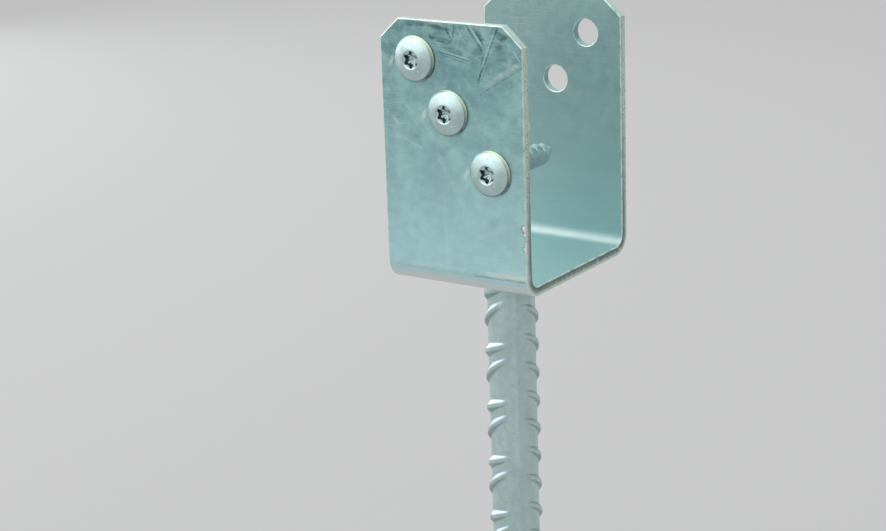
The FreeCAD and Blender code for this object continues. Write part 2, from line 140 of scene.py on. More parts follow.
class Tree(Nodes):    # a geometry node tree with named inputs
    def __init__(self, name, inputs, geometry=True):
        super().__init__(bpy.data.node_groups.new(name, "GeometryNodeTree"))
        face = self.tree.interface
        if geometry:
            face.new_socket("Geometry", in_out="INPUT", socket_type="NodeSocketGeometry")
        self.sockets, self.values = {}, inputs
        for key, value in inputs.items():
            kind = "NodeSocketMaterial" if key == "material" else (
                "NodeSocketInt" if isinstance(value, int) else
                "NodeSocketVector" if isinstance(value, tuple) else "NodeSocketFloat")
            self.sockets[key] = face.new_socket(key, in_out="INPUT", socket_type=kind)
        face.new_socket("Geometry", in_out="OUTPUT", socket_type="NodeSocketGeometry")
        self.start = self.tree.nodes.new("NodeGroupInput")
        self.end = self.tree.nodes.new("NodeGroupOutput")

    def given(self, key):
        return Wire(self, self.start.outputs[key])

    def close(self, shape):    # ends in real mesh with its material
        real = self.add("GeometryNodeRealizeInstances", inputs={0: shape})
        done = self.add("GeometryNodeSetMaterial", inputs={0: real, "Material": self.given("material")})
        self.tree.links.new(done.socket, self.end.inputs[0])

    def run(self, mesh):    # the tree's result on a mesh, as a plain mesh
        holder = bpy.data.objects.new(self.tree.name, mesh)
        bpy.context.scene.collection.objects.link(holder)
        modifier = holder.modifiers.new("shape", "NODES")
        modifier.node_group = self.tree
        for key, socket in self.sockets.items():
            modifier[socket.identifier] = self.values[key]
        depsgraph = bpy.context.evaluated_depsgraph_get()
        result = bpy.data.meshes.new_from_object(holder.evaluated_get(depsgraph))
        bpy.data.objects.remove(holder)
        return result


def tint(red, green, blue):    # a colour as seen, 0 to 255, made linear
    return tuple((c / 255 / 12.92 if c <= 10 else ((c / 255 + 0.055) / 1.055) ** 2.4)
                 for c in (red, green, blue))


def keepPiece(name, mesh, material, nodes):
    piece = bpy.data.objects.new(name, mesh)
    bpy.context.scene.collection.objects.link(piece)
    mesh.materials.clear()
    mesh.materials.append(material)
    mesh.shade_smooth()
    mesh.set_sharp_from_angle(angle=math.radians(40))
    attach(piece, "root")
    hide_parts(*nodes)
    print("made", name, len(mesh.polygons), "faces")


bracket = {    # the flanges stand at the front (-y) and rear, and the web's upper face is at z 0
    "width": 65.0, "height": 102.6, "thick": 4.0, "inner": 71.0, "bend": 4.5, "cut": (8.8, 8.0),
    "holeRadius": 5.5, "holes": ((-16.2, 87.1), (-1.6, 67.0), (17.2, 45.1)), "holeSides": 56,
    "edge": 0.55, "edgeSteps": 4, "corner": 1.1, "cell": 2.6, "bendCell": 0.8, "wave": 0.05,
    "drips": (    # place, reach and height of the runs of zinc by the front flange's edge
        (31.7, 24.9, 1.7, 0.5), (31.9, 22.5, 1.1, 0.35), (32.0, 19.3, 0.7, 0.25),
        (31.8, 16.9, 1.2, 0.35)),
    "rubs": ((24, 14, 3.1), (-38, 18, 7.7), (63, 12, 12.4), (-71, 20, 20.9)),    # angle, length, seed
    "scratches": (    # from, to, half width, and depth: above 0 dark, below 0 pale
        (7.6, 102.0, 15.0, 91.9, 0.55, 0.75), (9.7, 102.5, 15.9, 94.2, 0.4, 0.6),
        (22.1, 102.3, 12.0, 79.6, 0.5, 0.6), (2.4, 102.3, 1.3, 95.3, 0.45, 0.6),
        (-5.5, 90.7, 8.8, 88.1, 0.4, 0.6), (-4.2, 89.7, 7.9, 86.9, 0.35, 0.5),
        (32.6, 87.5, 12.7, 75.2, 0.35, 0.4), (32.7, 90.0, 14.9, 78.6, 1.3, -0.3),
        (-20.6, 100.7, -7.3, 101.0, 1.3, 0.55), (-8.3, 100.8, 0.5, 98.6, 1.4, 0.7),
        (-9.9, 96.4, 1.3, 94.3, 1.5, 0.65), (-1.6, 99.8, 1.3, 95.3, 0.45, 0.65),
        (-4.0, 93.6, 6.0, 90.2, 1.5, 0.4),
        (19.0, 100.6, 26.0, 97.0, 2.0, 0.7), (20.6, 93.8, 26.1, 95.0, 1.3, 0.5),
        (11.8, 100.4, 15.6, 95.7, 1.4, 0.55), (14.9, 90.8, 12.9, 79.6, 0.6, 0.5),
        (17.2, 88.0, 14.0, 80.5, 0.4, 0.4), (27.4, 94.7, 32.7, 88.3, 0.35, -0.5),
        (25.9, 87.7, 31.8, 87.8, 0.3, -0.4), (3.2, 101.6, 5.8, 96.0, 0.5, -0.35),
        (-28.6, 64.6, -23.9, 58.9, 1.1, -0.3), (-28.1, 56.9, -12.9, 51.6, 0.8, -0.22),
        (-30.8, 66.6, -28.7, 63.8, 0.8, -0.25), (-4.7, 36.8, -4.3, 8.0, 0.9, -0.16),
        (-20.8, 24.4, -6.4, 9.8, 1.2, -0.14), (-23.4, 19.3, -11.2, 3.6, 1.2, -0.14),
        (10.0, 18.9, 31.1, 27.0, 1.4, -0.14), (-18.2, 38.4, -17.5, 38.0, 0.4, 0.6),
        (-15.0, 37.2, -14.5, 36.8, 0.35, 0.5), (-24.0, 71.0, -9.0, 58.0, 0.9, -0.12),
        (2.0, 60.0, 22.0, 67.0, 0.9, -0.12), (-8.0, 52.0, 6.0, 27.0, 1.3, -0.12),
        # The pale rows at z 4.4 to 6.8 are a painted highlight along the fold.
        (13.0, 4.6, 33.5, 4.9, 1.3, -0.9), (-30.0, 4.4, 6.0, 4.9, 0.9, -0.3),
        (20.0, 6.2, 31.0, 6.8, 1.0, -0.25), (-28.0, 2.6, 12.0, 3.0, 0.6, 0.12),
        (8.0, 3.1, 32.0, 3.3, 0.5, 0.4),
        # The first three rows from here are painted reflections of the screw heads, a pale wedge left of
        # each head.
        (-25.9, 88.6, -29.0, 82.6, 1.1, -0.75), (-11.3, 68.5, -14.4, 62.5, 1.1, -0.75),
        (7.5, 46.6, 4.4, 40.6, 1.1, -0.75), (8.7, 102.3, 15.4, 93.2, 0.35, -0.5),
        (-5.2, 91.4, 8.8, 88.8, 0.3, -0.45), (-0.3, 99.8, 2.1, 95.4, 0.35, -0.5),
        (21.0, 102.0, 13.4, 84.0, 0.5, -0.35), (-12.0, 102.0, -2.0, 101.4, 0.8, -0.4),
    ),
}
bracket["half"] = bracket["width"] / 2
bracket["face"] = bracket["inner"] / 2    # from the middle to a flange's inner face,
bracket["outer"] = bracket["face"] + bracket["thick"]    # to its outer face,
bracket["flat"] = bracket["face"] - bracket["bend"]    # and to the start of the bend


def makeSheetFinish():
    b = bracket
    f = Finish(bpy.data.materials.new("galvanisedSheet"))
    place = f.place()
    x, y, z = f.split(place)
    front = (-y).ramp(b["outer"] - 0.9, b["outer"] - 0.3)
    patches = f.cloud(place, 16, detail=3, warp=0.6)
    blotches = f.cloud(place, 4.5, detail=4, rough=0.6)
    grains = f.cloud(place, 0.9, detail=2)
    shade = (patches * 0.45 + blotches * 0.4 + grains * 0.15).ramp(0.36, 0.64)
    colour = f.mix(shade, tint(128, 168, 172), tint(160, 204, 200))
    bounceLight = z.ramp(-20, 96, 1, 0)    # painted bounce light from the floor: paler towards the fold
    colour = f.mix(bounceLight * 0.78, colour, tint(202, 244, 248))
    smudge = f.cloud(f.turn(place, scale=(1, 1, 1.6), shift=(5, 0, 9)), 7, detail=4, rough=0.65)
    smudge = smudge.ramp(0.50, 0.60) * z.ramp(80, 92) * front
    colour = f.mix(smudge * 0.35, colour, tint(86, 122, 128))    # handling marks near the top

    # Rub marks lie in a few directions; each is noise drawn out along one of them.
    rubs = 0.0
    for angle, drawn, seed in b["rubs"]:
        lain = f.turn(place, angles=(0, angle, 0), scale=(1 / drawn, 1, 1), shift=(seed, seed, seed))
        rubs = rubs + f.cloud(lain, 0.8, detail=1).ramp(0.62, 0.74)
    rubMask = f.cloud(place, 21, detail=1).ramp(0.42, 0.62) * rubs * 0.3
    colour = f.mix(rubMask, colour, tint(190, 222, 222))

    wobble = (f.cloud(place, 2.2) - 0.5) * 0.8
    patchy = f.cloud(f.turn(place, scale=(0.5, 1, 1.3), shift=(9, 4, 2)), 1.7, detail=2)
    patchy = patchy.ramp(0.34, 0.6)
    dark, pale = 0.0, 0.0
    for x1, z1, x2, z2, width, depth in b["scratches"]:
        long = math.hypot(x2 - x1, z2 - z1)
        alongX, alongZ = (x2 - x1) / long, (z2 - z1) / long
        along = x * alongX + z * alongZ - (x1 * alongX + z1 * alongZ)
        across = abs(x * -alongZ + z * alongX - (z1 * alongX - x1 * alongZ) + wobble * width)
        fade = 1.2 if depth > 0 else 3.0    # how far from its ends a mark starts to fade
        line = across.ramp(width * 0.35, width, 1, 0)
        line = line * abs(along - long / 2).ramp(long / 2 - fade, long / 2 + 0.3, 1, 0)
        if depth > 0:
            dark = dark + line * depth
        else:
            pale = pale + line * -depth
    dark = (dark * (patchy * 0.65 + 0.35) * front).calc("MINIMUM", 0.85)
    pale = (pale * (patchy * 0.5 + 0.5) * front).calc("MINIMUM", 1)
    colour = f.mix(dark, colour, tint(62, 90, 100))
    colour = f.mix(pale, colour, tint(226, 240, 234))

    inside = (b["face"] + 0.4 - abs(y)).ramp(0.0, 0.3) * z.ramp(-0.6, -0.2)
    colour = f.mix(inside * 0.55, colour, tint(166, 190, 188))
    foldReflection = z.ramp(-2.0, b["bend"] - 0.1, 1, 0) * abs(y).ramp(b["flat"] + 0.5, b["face"] - 0.5)
    colour = f.mix(foldReflection * 0.75, colour, tint(232, 230, 225))    # painted reflection of the floor: the folds are greyer

    # The cut edges hold a thicker, speckled coat, with a pale outer band that is partly painted highlight
    # and a dark inner band of painted shadow.
    edge = abs(x).ramp(b["half"] - 0.4, b["half"] - 0.05)
    flecks = f.cloud(place, 0.7, detail=2).ramp(0.52, 0.64)
    coat = f.mix(z.ramp(-6, 75), tint(134, 152, 143), tint(222, 240, 220))
    colour = f.mix(edge * 0.8, colour, coat)
    colour = f.mix(edge * flecks * z.ramp(20, 80, 0.6, 0.4), colour, tint(84, 102, 100))
    wiped = f.cloud(f.turn(place, shift=(4, 6, 8), scale=(1, 1, 0.6)), 1.7, detail=3).ramp(0.55, 0.68)
    colour = f.mix(edge * wiped * 0.5, colour, tint(232, 244, 236))
    beyond = (abs(y) - b["flat"]).calc("MAXIMUM", 0)    # past the web's flat part
    below = (b["bend"] - z).calc("MAXIMUM", 0)    # and below the flanges' flat part
    deep = b["bend"] + b["thick"] - (beyond * beyond + below * below) ** 0.5    # in from the outer face
    low = z.ramp(0, 70, 1, 0.25) * edge
    # a paler coat, with a painted highlight on the rounded arris
    colour = f.mix(deep.ramp(1.0, 1.9, 1, 0) * low * 0.7, colour, tint(226, 242, 228))
    # painted shadow as a dark band inside the cut edge
    colour = f.mix(deep.ramp(1.9, 3.0) * low * 0.45, colour, tint(74, 92, 88))

    cutX, cutZ = b["cut"]
    corner = (b["half"] - abs(x)) / cutX + (b["height"] - z) / cutZ    # 1 along the cut corners
    topHighlight = corner.ramp(1.0, 1.05, 1, 0).calc("MAXIMUM", z.ramp(b["height"] - 0.5, b["height"] - 0.2))
    colour = f.mix(topHighlight * (wiped * 0.3 + 0.35), colour, tint(232, 241, 224))    # painted highlight on the top edge and the cut corners, patchy
    rim = f.add("Attribute", {"attribute_name": "rim"}, out="Fac")    # rounded edges and zinc runs, with a painted highlight
    colour = f.mix(rim * blotches.ramp(0.28, 0.55) * 0.85, colour, tint(240, 250, 244))

    for dropX, dropZ, reach, _ in b["drips"]:    # the runs are whiter, with a dark foot
        far = (((x - dropX) * 1.3) ** 2 + (z - dropZ) ** 2) ** 0.5 / reach
        ring = far.ramp(0.6, 0.8) * far.ramp(1.0, 1.2, 1, 0) * (dropX - x).ramp(-0.2, 0.4)
        colour = f.mix(ring * front * 0.55, colour, tint(70, 84, 120))
        colour = f.mix(far.ramp(0.35, 0.7, 1, 0) * front * 0.9, colour, tint(248, 252, 252))

    rough = 0.44 + (blotches - 0.5) * 0.3 - rubMask * 0.3 + dark * 0.15 - rim * 0.08 + inside * 0.12
    height = blotches * 0.5 + grains * 0.18 - dark * 0.5 - rubMask * 0.4
    return f.close(base_color=colour, metallic=0.86, roughness=rough, normal=f.bump(height, 0.35, 0.3))


def ringPoints(corners, radius, gap):    # a closed outline with round corners: points and inward normals
    points = []
    count = len(corners)
    for index in range(count):
        before, here, after, beyond = (Vector(corners[(index + step) % count]) for step in (-1, 0, 1, 2))
        into, away, onward = (side.normalized() for side in (here - before, after - here, beyond - after))
        turn = into.angle_signed(away) * -1
        reach = radius * math.tan(abs(turn) / 2)
        inward = Vector((-into.y, into.x))
        centre = here - into * reach + inward * radius
        first = math.atan2(-inward.y, -inward.x)
        for step in range(4):
            angle = first + turn * step / 3
            out = Vector((math.cos(angle), math.sin(angle)))
            points.append((centre + out * radius, -out))
        start = points[-1][0]
        nextReach = radius * math.tan(abs(away.angle_signed(onward)) / 2)
        span = (after - away * nextReach - start).length
        normal = Vector((-away.y, away.x))
        done = 0.0
        while True:
            step = gap(start + away * done + away * 0.4)
            if done + step * 1.4 > span:
                break
            done += step
            points.append((start + away * done, normal))
    return points


def foldBlank(x, along, rise):    # along is measured over the sheet's middle, rise out of it
    thick, bend, flat = bracket["thick"], bracket["bend"], bracket["flat"]
    middle = bend + thick / 2
    side, far = math.copysign(1, along), abs(along)
    if far <= flat:
        return Vector((x, along, -thick / 2 + rise)) * mm
    angle = (far - flat) / middle
    if angle < math.pi / 2:
        return Vector((x, side * (flat + (middle - rise) * math.sin(angle)),
                       bend - (middle - rise) * math.cos(angle))) * mm
    return Vector((x, side * (flat + middle - rise),
                   bend + (far - flat) - middle * math.pi / 2)) * mm


def makeBracket(material):    # one flat blank with rounded edges, folded up
    b = bracket
    half, flat, edge, middle = b["half"], b["flat"], b["edge"], b["thick"] / 2
    bendLong = (b["bend"] + middle) * math.pi / 2
    standing = flat + bendLong - b["bend"]    # add a height to get the place along the blank
    top = standing + b["height"]
    cutX, cutZ = b["cut"]
    outline = [(half, -top + cutZ), (half, top - cutZ), (half - cutX, top), (-half + cutX, top),
               (-half, top - cutZ), (-half, -top + cutZ), (-half + cutX, -top), (half - cutX, -top)]

    def inBend(along):
        return flat - 1 < abs(along) < flat + bendLong + 1

    def gap(spot):
        return b["bendCell"] if inBend(spot[1]) and abs(spot[0]) > half - 0.1 else b["cell"]

    loops = [ringPoints(outline, b["corner"], gap)]
    centres = [(x, -(standing + z)) for x, z in b["holes"]]
    centres += [(-x, standing + z) for x, z in b["holes"]]
    for centre in centres:
        ring = []
        for index in range(b["holeSides"]):
            angle = -2 * math.pi * index / b["holeSides"]
            out = Vector((math.cos(angle), math.sin(angle)))
            ring.append((Vector(centre) + out * b["holeRadius"], out))
        loops.append(ring)

    # The section of a cut edge: how far in from it, and how high, from the upper face to the lower.
    section = [(edge + 0.25, middle)]
    for step in range(b["edgeSteps"] + 1):
        angle = math.pi / 2 * step / b["edgeSteps"]
        section.append((edge - edge * math.sin(angle), middle - edge + edge * math.cos(angle)))
    section += [(0, middle * 0.25), (0, -middle * 0.25)]
    section += [(inset, -height) for inset, height in section[-3:0:-1]]    # and mirrored
    section.append((edge + 0.25, -middle))

    mesh = bmesh.new()
    rim = mesh.verts.layers.float.new("rim")
    rings = []
    for loop in loops:
        rings.append([[mesh.verts.new((*(spot + inward * inset), height)) for spot, inward in loop]
                      for inset, height in section])
        for row, (inset, _) in zip(rings[-1], section):
            for vertex in row:
                vertex[rim] = float(0.01 < inset < edge)
    for ring in rings:
        for upper, lower in zip(ring, ring[1:]):
            for index in range(len(upper)):
                follow = (index + 1) % len(upper)
                mesh.faces.new((upper[index], upper[follow], lower[follow], lower[index]))

    # Both broad faces share one net of triangles between the innermost edge rows.
    border, fixed, inner = [], [], []
    for ring in rings:
        start = len(border)
        border += [v.co.xy for v in ring[0]]
        fixed += [(start + i, start + (i + 1) % len(ring[0])) for i in range(len(ring[0]))]
    margin = edge + 1.2

    def offer(px, py):
        inside = abs(px) < half - margin and abs(py) < top - margin
        slope = (half - abs(px)) / cutX + (top - abs(py)) / cutZ
        if inside and slope > 1.28 and all(
                math.hypot(px - cx, py - cy) > b["holeRadius"] + margin for cx, cy in centres):
            inner.append(Vector((px, py)))

    row, py = 0, -top
    while py < top:
        for step in range(int(b["width"] / b["cell"]) + 2):
            offer(-half + (step + 0.5 * (row % 2)) * b["cell"], py)
        py += b["bendCell"] if inBend(py) else b["cell"] * 0.87
        row += 1
    for dx, dz, reach, _ in b["drips"]:
        inner = [p for p in inner if math.hypot(p.x - dx, p.y + standing + dz) > reach * 1.3]
        for circle in range(5):
            sides, far = 4 + circle * 4, reach * circle / 4
            for step in range(sides):
                angle = 2 * math.pi * step / sides + circle
                if dx + far * math.cos(angle) < half - edge - 0.35:
                    inner.append(Vector((dx + far * math.cos(angle),
                                         -standing - dz + far * math.sin(angle))))
    spots, _, net, sources, _, _ = delaunay_2d_cdt(
        border + inner, fixed, [list(range(len(rings[0][0])))], 1, 1e-5)
    upperOf, lowerOf = {}, {}
    flatRim = [(ring[0][i], ring[-1][i]) for ring in rings for i in range(len(ring[0]))]
    for index, spot in enumerate(spots):
        known = [s for s in sources[index] if s < len(border)]
        if known:
            upperOf[index], lowerOf[index] = flatRim[known[0]]
        else:
            upperOf[index] = mesh.verts.new((*spot, middle))
            lowerOf[index] = mesh.verts.new((*spot, -middle))
    loopOf = [number for number, ring in enumerate(rings) for _ in ring[0]]
    for face in net:
        homes = {loopOf[s] for i in face for s in sources[i][:1] if s < len(border)}
        atBorder = all(sources[i] and sources[i][0] < len(border) for i in face)
        if atBorder and len(homes) == 1 and 0 not in homes:    # it only fills a hole
            continue
        mesh.faces.new([upperOf[i] for i in face])
        mesh.faces.new([lowerOf[i] for i in reversed(face)])

    for vertex in mesh.verts:    # the coat is a little uneven, and thins towards the middle
        across, along, rise = vertex.co
        uneven = noise.noise(Vector((across, along, rise)) * 0.11) * 0.5 + 0.5
        if abs(rise) > middle - 1e-4:
            rise -= math.copysign(b["wave"] * uneven, rise)
            if rise < 0:
                for dx, dz, reach, tall in b["drips"]:
                    far = math.hypot((across - dx) * 1.3, (along + standing + dz)) / reach
                    if far < 1:
                        rise -= tall * (1 - far * far) ** 1.5
                        vertex[rim] = max(vertex[rim], 1 - far * far)
        vertex.co = foldBlank(across, along, rise)
    bmesh.ops.recalc_face_normals(mesh, faces=mesh.faces)
    data = bpy.data.meshes.new("foldedSheet")
    mesh.to_mesh(data)
    mesh.free()
    keepPiece("foldedSheet", data, material, ["folded_bracket"])


bar = {
    "core": 19.6, "long": 200.0, "top": -4.0, "turn": 45.0, "around": 132, "along": 500,
    "ribHeight": 1.35, "ribSink": 0.4, "foot": 6.6, "crest": 1.7, "pair": 24.7,
    "shallow": (24.0, 11.1), "steep": (41.0, -3.2), "even": (40.0, -0.8),    # tilt and start
    "mixedReach": 69.0, "evenReach": 82.0,    # half of the arc that a row's ribs take up
    "seamWidth": 3.0, "seamHeight": 0.55, "land": 5.0, "soft": 0.05, "lumps": 0.06,
}


def makeBarFinish():    # for the bar and the weld
    f = Finish(bpy.data.materials.new("galvanisedBar"))
    place = f.place()
    x, y, z = f.split(place)
    aside, back, facing = f.normal()
    runs = f.cloud(f.turn(place, scale=(1, 1, 0.35)), 6, detail=3, warp=0.5)
    lumps = f.cloud(place, 2.4, detail=3)
    grains = f.cloud(place, 0.6, detail=2)
    shade = (runs * 0.5 + lumps * 0.35 + grains * 0.15).ramp(0.36, 0.64)
    colour = f.mix(shade, tint(184, 208, 207), tint(200, 224, 223))
    pits = f.cloud(f.turn(place, shift=(3, 8, 5)), 1.1, detail=2).ramp(0.68, 0.76)
    colour = f.mix(pits * 0.35, colour, tint(120, 136, 134))
    leftward = (aside + back).ramp(-0.4, 0.1, 1, 0)    # painted highlight on the upper flanks of the row of mixed ribs
    lit = z.ramp(-18, -15, 1, 0)    # the first ribs lie close under the sheet, in its shadow, with no painted highlight
    highlightFringe = facing.ramp(0.1, 0.25) * facing.ramp(0.25, 0.5, 1, 0)    # a painted blue fringe of the highlight above the crests
    colour = f.mix(highlightFringe * leftward * lit * 0.4, colour, tint(160, 196, 250))
    colour = f.mix(facing.ramp(0.15, 0.45) * leftward * lit * 0.5, colour, tint(232, 246, 255))
    # painted shade on the other upper flanks, and on all of them under the sheet
    colour = f.mix(facing.ramp(0.2, 0.5) * (1 - leftward * lit) * 0.45, colour, tint(104, 124, 116))
    crests = bar["core"] / 2 + bar["ribHeight"]
    onBar = ((x * x + y * y) ** 0.5).ramp(crests + 0.05, crests + 0.35, 1, 0) * facing.ramp(-0.95, -0.85)
    colour = f.mix(facing.ramp(-0.15, -0.5) * onBar * 0.5, colour, tint(116, 132, 134))    # painted shade on the undersides
    colour = f.mix(z.ramp(-7.5, -4.6) * 0.8, colour, tint(116, 130, 126))    # painted shadow up against the sheet
    rough = 0.40 + (lumps - 0.5) * 0.2 + (1 - lit) * 0.15
    return f.close(base_color=colour, metallic=0.86, roughness=rough,
                   normal=f.bump(lumps * 0.6 + grains * 0.2 - pits * 0.3, 0.4, 0.3))


def makeBar(material):
    b = bar
    t = Tree("ribbedBar", {
        "coreRadius": b["core"] / 2, "length": b["long"], "ribHeight": b["ribHeight"],
        "ribSpacing": b["pair"], "softness": b["soft"], "lumps": b["lumps"],
        "around": b["around"], "along": b["along"], "material": material}, geometry=False)
    core, high, soft = t.given("coreRadius"), t.given("ribHeight"), t.given("softness")
    rod = t.add("GeometryNodeMeshCylinder", {"fill_type": "TRIANGLE_FAN"}, {
        "Vertices": t.given("around"), "Side Segments": t.given("along"), "Fill Segments": 3,
        "Radius": core, "Depth": t.given("length")})
    place = t.add("GeometryNodeInputPosition")
    x, y, up = t.split(place)
    depth = t.given("length") / 2 - up    # below the bar's top
    wide = (x * x + y * y) ** 0.5
    share = wide / core    # 1 on the side, less on the ends
    cosine, sine = x / wide.calc("MAXIMUM", 0.01), y / wide.calc("MAXIMUM", 0.01)

    def ribRow(side, reach, kinds):    # how far the ribs of one side rise over the core
        offset = high / (1 - math.cos(math.radians(reach)))
        crestRadius = core + high - offset
        spin = cosine * side
        chord = crestRadius * crestRadius - offset * offset * (1 - spin * spin)
        crest = offset * spin + chord ** 0.5 - core
        crest = crest * spin.ramp(-0.02, 0.05) - spin.ramp(-0.02, 0.05, 2, 0)
        steepness = (b["ribHeight"] + b["ribSink"]) / ((b["foot"] - b["crest"]) / 2)
        rows = None
        for (tilt, start), spacing in kinds:    # a tilt is measured halfway up the ribs
            line = depth - start - sine * core * 1.06 * math.tan(math.radians(tilt))
            line = line / spacing
            apart = abs((line - line.calc("ROUND")) * spacing)    # from the nearest rib's middle
            slope = (apart - b["crest"] / 2) * steepness
            rib = crest - slope.calc("SMOOTH_MAX", 0.0, 0.05)
            rows = rib if rows is None else rows.calc("SMOOTH_MAX", rib, 0.3)
        return rows

    spacing = t.given("ribSpacing")
    mixed = ribRow(-1, b["mixedReach"], [(b["shallow"], spacing), (b["steep"], spacing)])
    even = ribRow(1, b["evenReach"], [(b["even"], spacing / 2)])
    seam = abs(x).ramp(0.0, b["seamWidth"] / 2 + 1.6, b["seamHeight"], -0.3)
    rise = mixed.calc("MAXIMUM", even).calc("SMOOTH_MAX", 0.0, soft).calc("SMOOTH_MAX", seam, 0.4)
    rise = rise * depth.ramp(b["land"] - 0.3, b["land"] + 0.3)
    uneven = t.add("TexNoise", inputs={"Vector": place, "Scale": 0.35, "Detail": 2.0})
    rise = rise + (uneven - 0.75) * t.given("lumps")
    rise = rise - (t.given("length") - depth).ramp(0.0, 0.7, 0.5, 0.0)    # the cut end's worn edge
    grown = (core + rise) * share * mm
    shaped = t.add("CombineXYZ", inputs={
        0: grown * cosine, 1: grown * sine, 2: (up - b["long"] / 2 + b["top"]) * mm})
    turned = t.add("VectorRotate", {"rotation_type": "Z_AXIS"},
                   {"Vector": shaped, "Angle": math.radians(b["turn"])})
    t.close(t.add("GeometryNodeSetPosition", inputs={0: rod, "Position": turned}))
    mesh = t.run(bpy.data.meshes.new("ribbedBar"))
    keepPiece("ribbedBar", mesh, material, ["anchor_bar"])


weld = {    # a ring of round section, half sunk in the bar and the web
    "radius": 11.4, "drop": -5.7, "bead": 3.55, "around": 240, "across": 28, "ripples": 34,
    "ripple": 0.38, "lumps": 0.5,
}


def makeWeld(material):
    w = weld
    t = Tree("rippledWeld", {
        "ringRadius": w["radius"], "beadRadius": w["bead"], "ripples": w["ripples"],
        "rippleHeight": w["ripple"], "lumps": w["lumps"], "material": material}, geometry=False)
    ring, profile = (t.add("GeometryNodeCurvePrimitiveCircle", inputs={
        "Resolution": w[sides], "Radius": t.given(radius)})
        for sides, radius in (("around", "ringRadius"), ("across", "beadRadius")))
    bead = t.add("GeometryNodeCurveToMesh", inputs={"Curve": ring, "Profile Curve": profile})
    place = t.add("GeometryNodeInputPosition")
    x, y, z = t.split(place)
    turn = y.calc("ARCTAN2", x) / (2 * math.pi)
    wide = (x * x + y * y) ** 0.5 - t.given("ringRadius")
    aside = (wide + z) * 0.7071 / t.given("beadRadius")    # across the bead's open face
    wave = (turn * t.given("ripples") + aside * aside * 0.55).calc("FRACT")
    crown = (wave * (1 - wave) * 4) ** 0.6
    uneven = t.add("TexNoise", inputs={"Vector": place, "Scale": 0.28, "Detail": 2.0})
    lift = (crown - 1) * t.given("rippleHeight") + (uneven - 0.5) * t.given("lumps")
    normal = t.add("GeometryNodeInputNormal")
    push = t.add("VectorMath", {"operation": "SCALE"}, {0: normal, "Scale": lift})
    bead = t.add("GeometryNodeSetPosition", inputs={0: bead, "Offset": push})
    t.close(t.add("GeometryNodeTransform", inputs={
        "Geometry": bead, "Translation": (0, 0, w["drop"] * mm), "Scale": (mm, mm, mm)}))
    mesh = t.run(bpy.data.meshes.new("rippledWeld"))
    keepPiece("rippledWeld", mesh, material, ["weld_bead"])


screw = {    # one is turned, threaded, and set in the three front holes
    "headRadius": 9.15, "rim": 0.85, "headHeight": 3.99, "domeEdge": 8.45, "around": 120,
    "recessTip": 3.375, "lobe": 0.58, "flute": 1.4, "mouth": 3.75, "dish": 0.45, "recessDepth": 3.2,
    "nick": (3.3, -4.3), "spot": (0.3, 6.3),    # small marks on each head, from its middle
    "collar": 5.0, "collarLong": 6.0, "neck": 3.5, "neckLong": 10.0, "coreWide": 3.1,
    "long": 45.0, "pitch": 4.4, "threadHigh": 1.45, "threadFoot": 1.3, "threadEnd": 43.0,
}


def makeScrewFinish():
    s = screw
    f = Finish(bpy.data.materials.new("zincPlatedScrew"))
    place = f.place()
    x, y, z = f.split(place)
    aside, facing, upward = f.normal()
    out = -y - bracket["outer"]    # how far out from the sheet's face, in mm
    front = out.ramp(-0.1, 0.0)

    def nearest(right, above):    # how far it is to the same spot of the nearest head
        spans = []
        for seatX, seatZ in bracket["holes"]:
            across, up = x - seatX - right, z - seatZ - above
            spans.append((across * across + up * up) ** 0.5)
        return spans[0].calc("MINIMUM", spans[1]).calc("MINIMUM", spans[2])

    haze = f.cloud(place, 3.5, detail=3)
    dots = f.cloud(f.turn(place, shift=(2, 7, 1)), 0.9, detail=1).ramp(0.72, 0.78)
    colour = f.mix(haze.ramp(0.35, 0.65), tint(188, 211, 211), tint(200, 223, 223))
    colour = f.mix(dots * 0.4, colour, tint(150, 160, 166))
    colour = f.mix(front * nearest(*s["nick"]).ramp(0.2, 0.4, 1, 0), colour, tint(255, 255, 255))
    colour = f.mix(front * nearest(*s["spot"]).ramp(0.2, 0.45, 1, 0) * 0.5, colour, tint(110, 116, 122))

    # Painted shade on the recess walls, most of all on those that face +x.
    away, mouth, edge = nearest(0, 0), s["mouth"], s["domeEdge"]
    wallShade = out.ramp(2.8, 3.1, 1, 0) * facing.ramp(-0.75, -0.45)
    wallShade = wallShade * away.ramp(mouth - 0.35, mouth - 0.15, 1, 0) * out.ramp(-0.7, -0.6)
    colour = f.mix(wallShade * aside.ramp(-0.6, 0.2, 0.4, 0.85), colour, tint(34, 42, 44))

    # The rim is yellower, with a painted highlight where it faces up and painted shade below.
    band = out.ramp(1.35, 1.45, 1, 0) * away.ramp(edge - 0.05, edge + 0.05)
    worn = haze.ramp(0.40, 0.60) * 0.35 + 0.65
    rim = f.mix(upward.ramp(-0.35, 0.3), tint(60, 66, 60), tint(212, 227, 184))
    band = band * front * worn * (aside + upward * 0.4).ramp(-0.1, 0.3, 0.2, 0.75)
    colour = f.mix(band, colour, rim)
    # A dark line of painted shade lies in the crease at the rim's edge.
    creaseShade = away.ramp(edge - 0.2, edge - 0.05) * away.ramp(edge + 0.05, edge + 0.15, 1, 0)
    creaseShade = creaseShade * (aside - upward).ramp(-0.1, 0.3) * front
    colour = f.mix(creaseShade * 0.5, colour, tint(80, 86, 84))
    rough = 0.41 + (haze - 0.5) * 0.16
    return f.close(base_color=colour, metallic=0.95, roughness=rough,
                   normal=f.bump(haze * 0.6 + dots * -0.3, 0.12, 0.2))


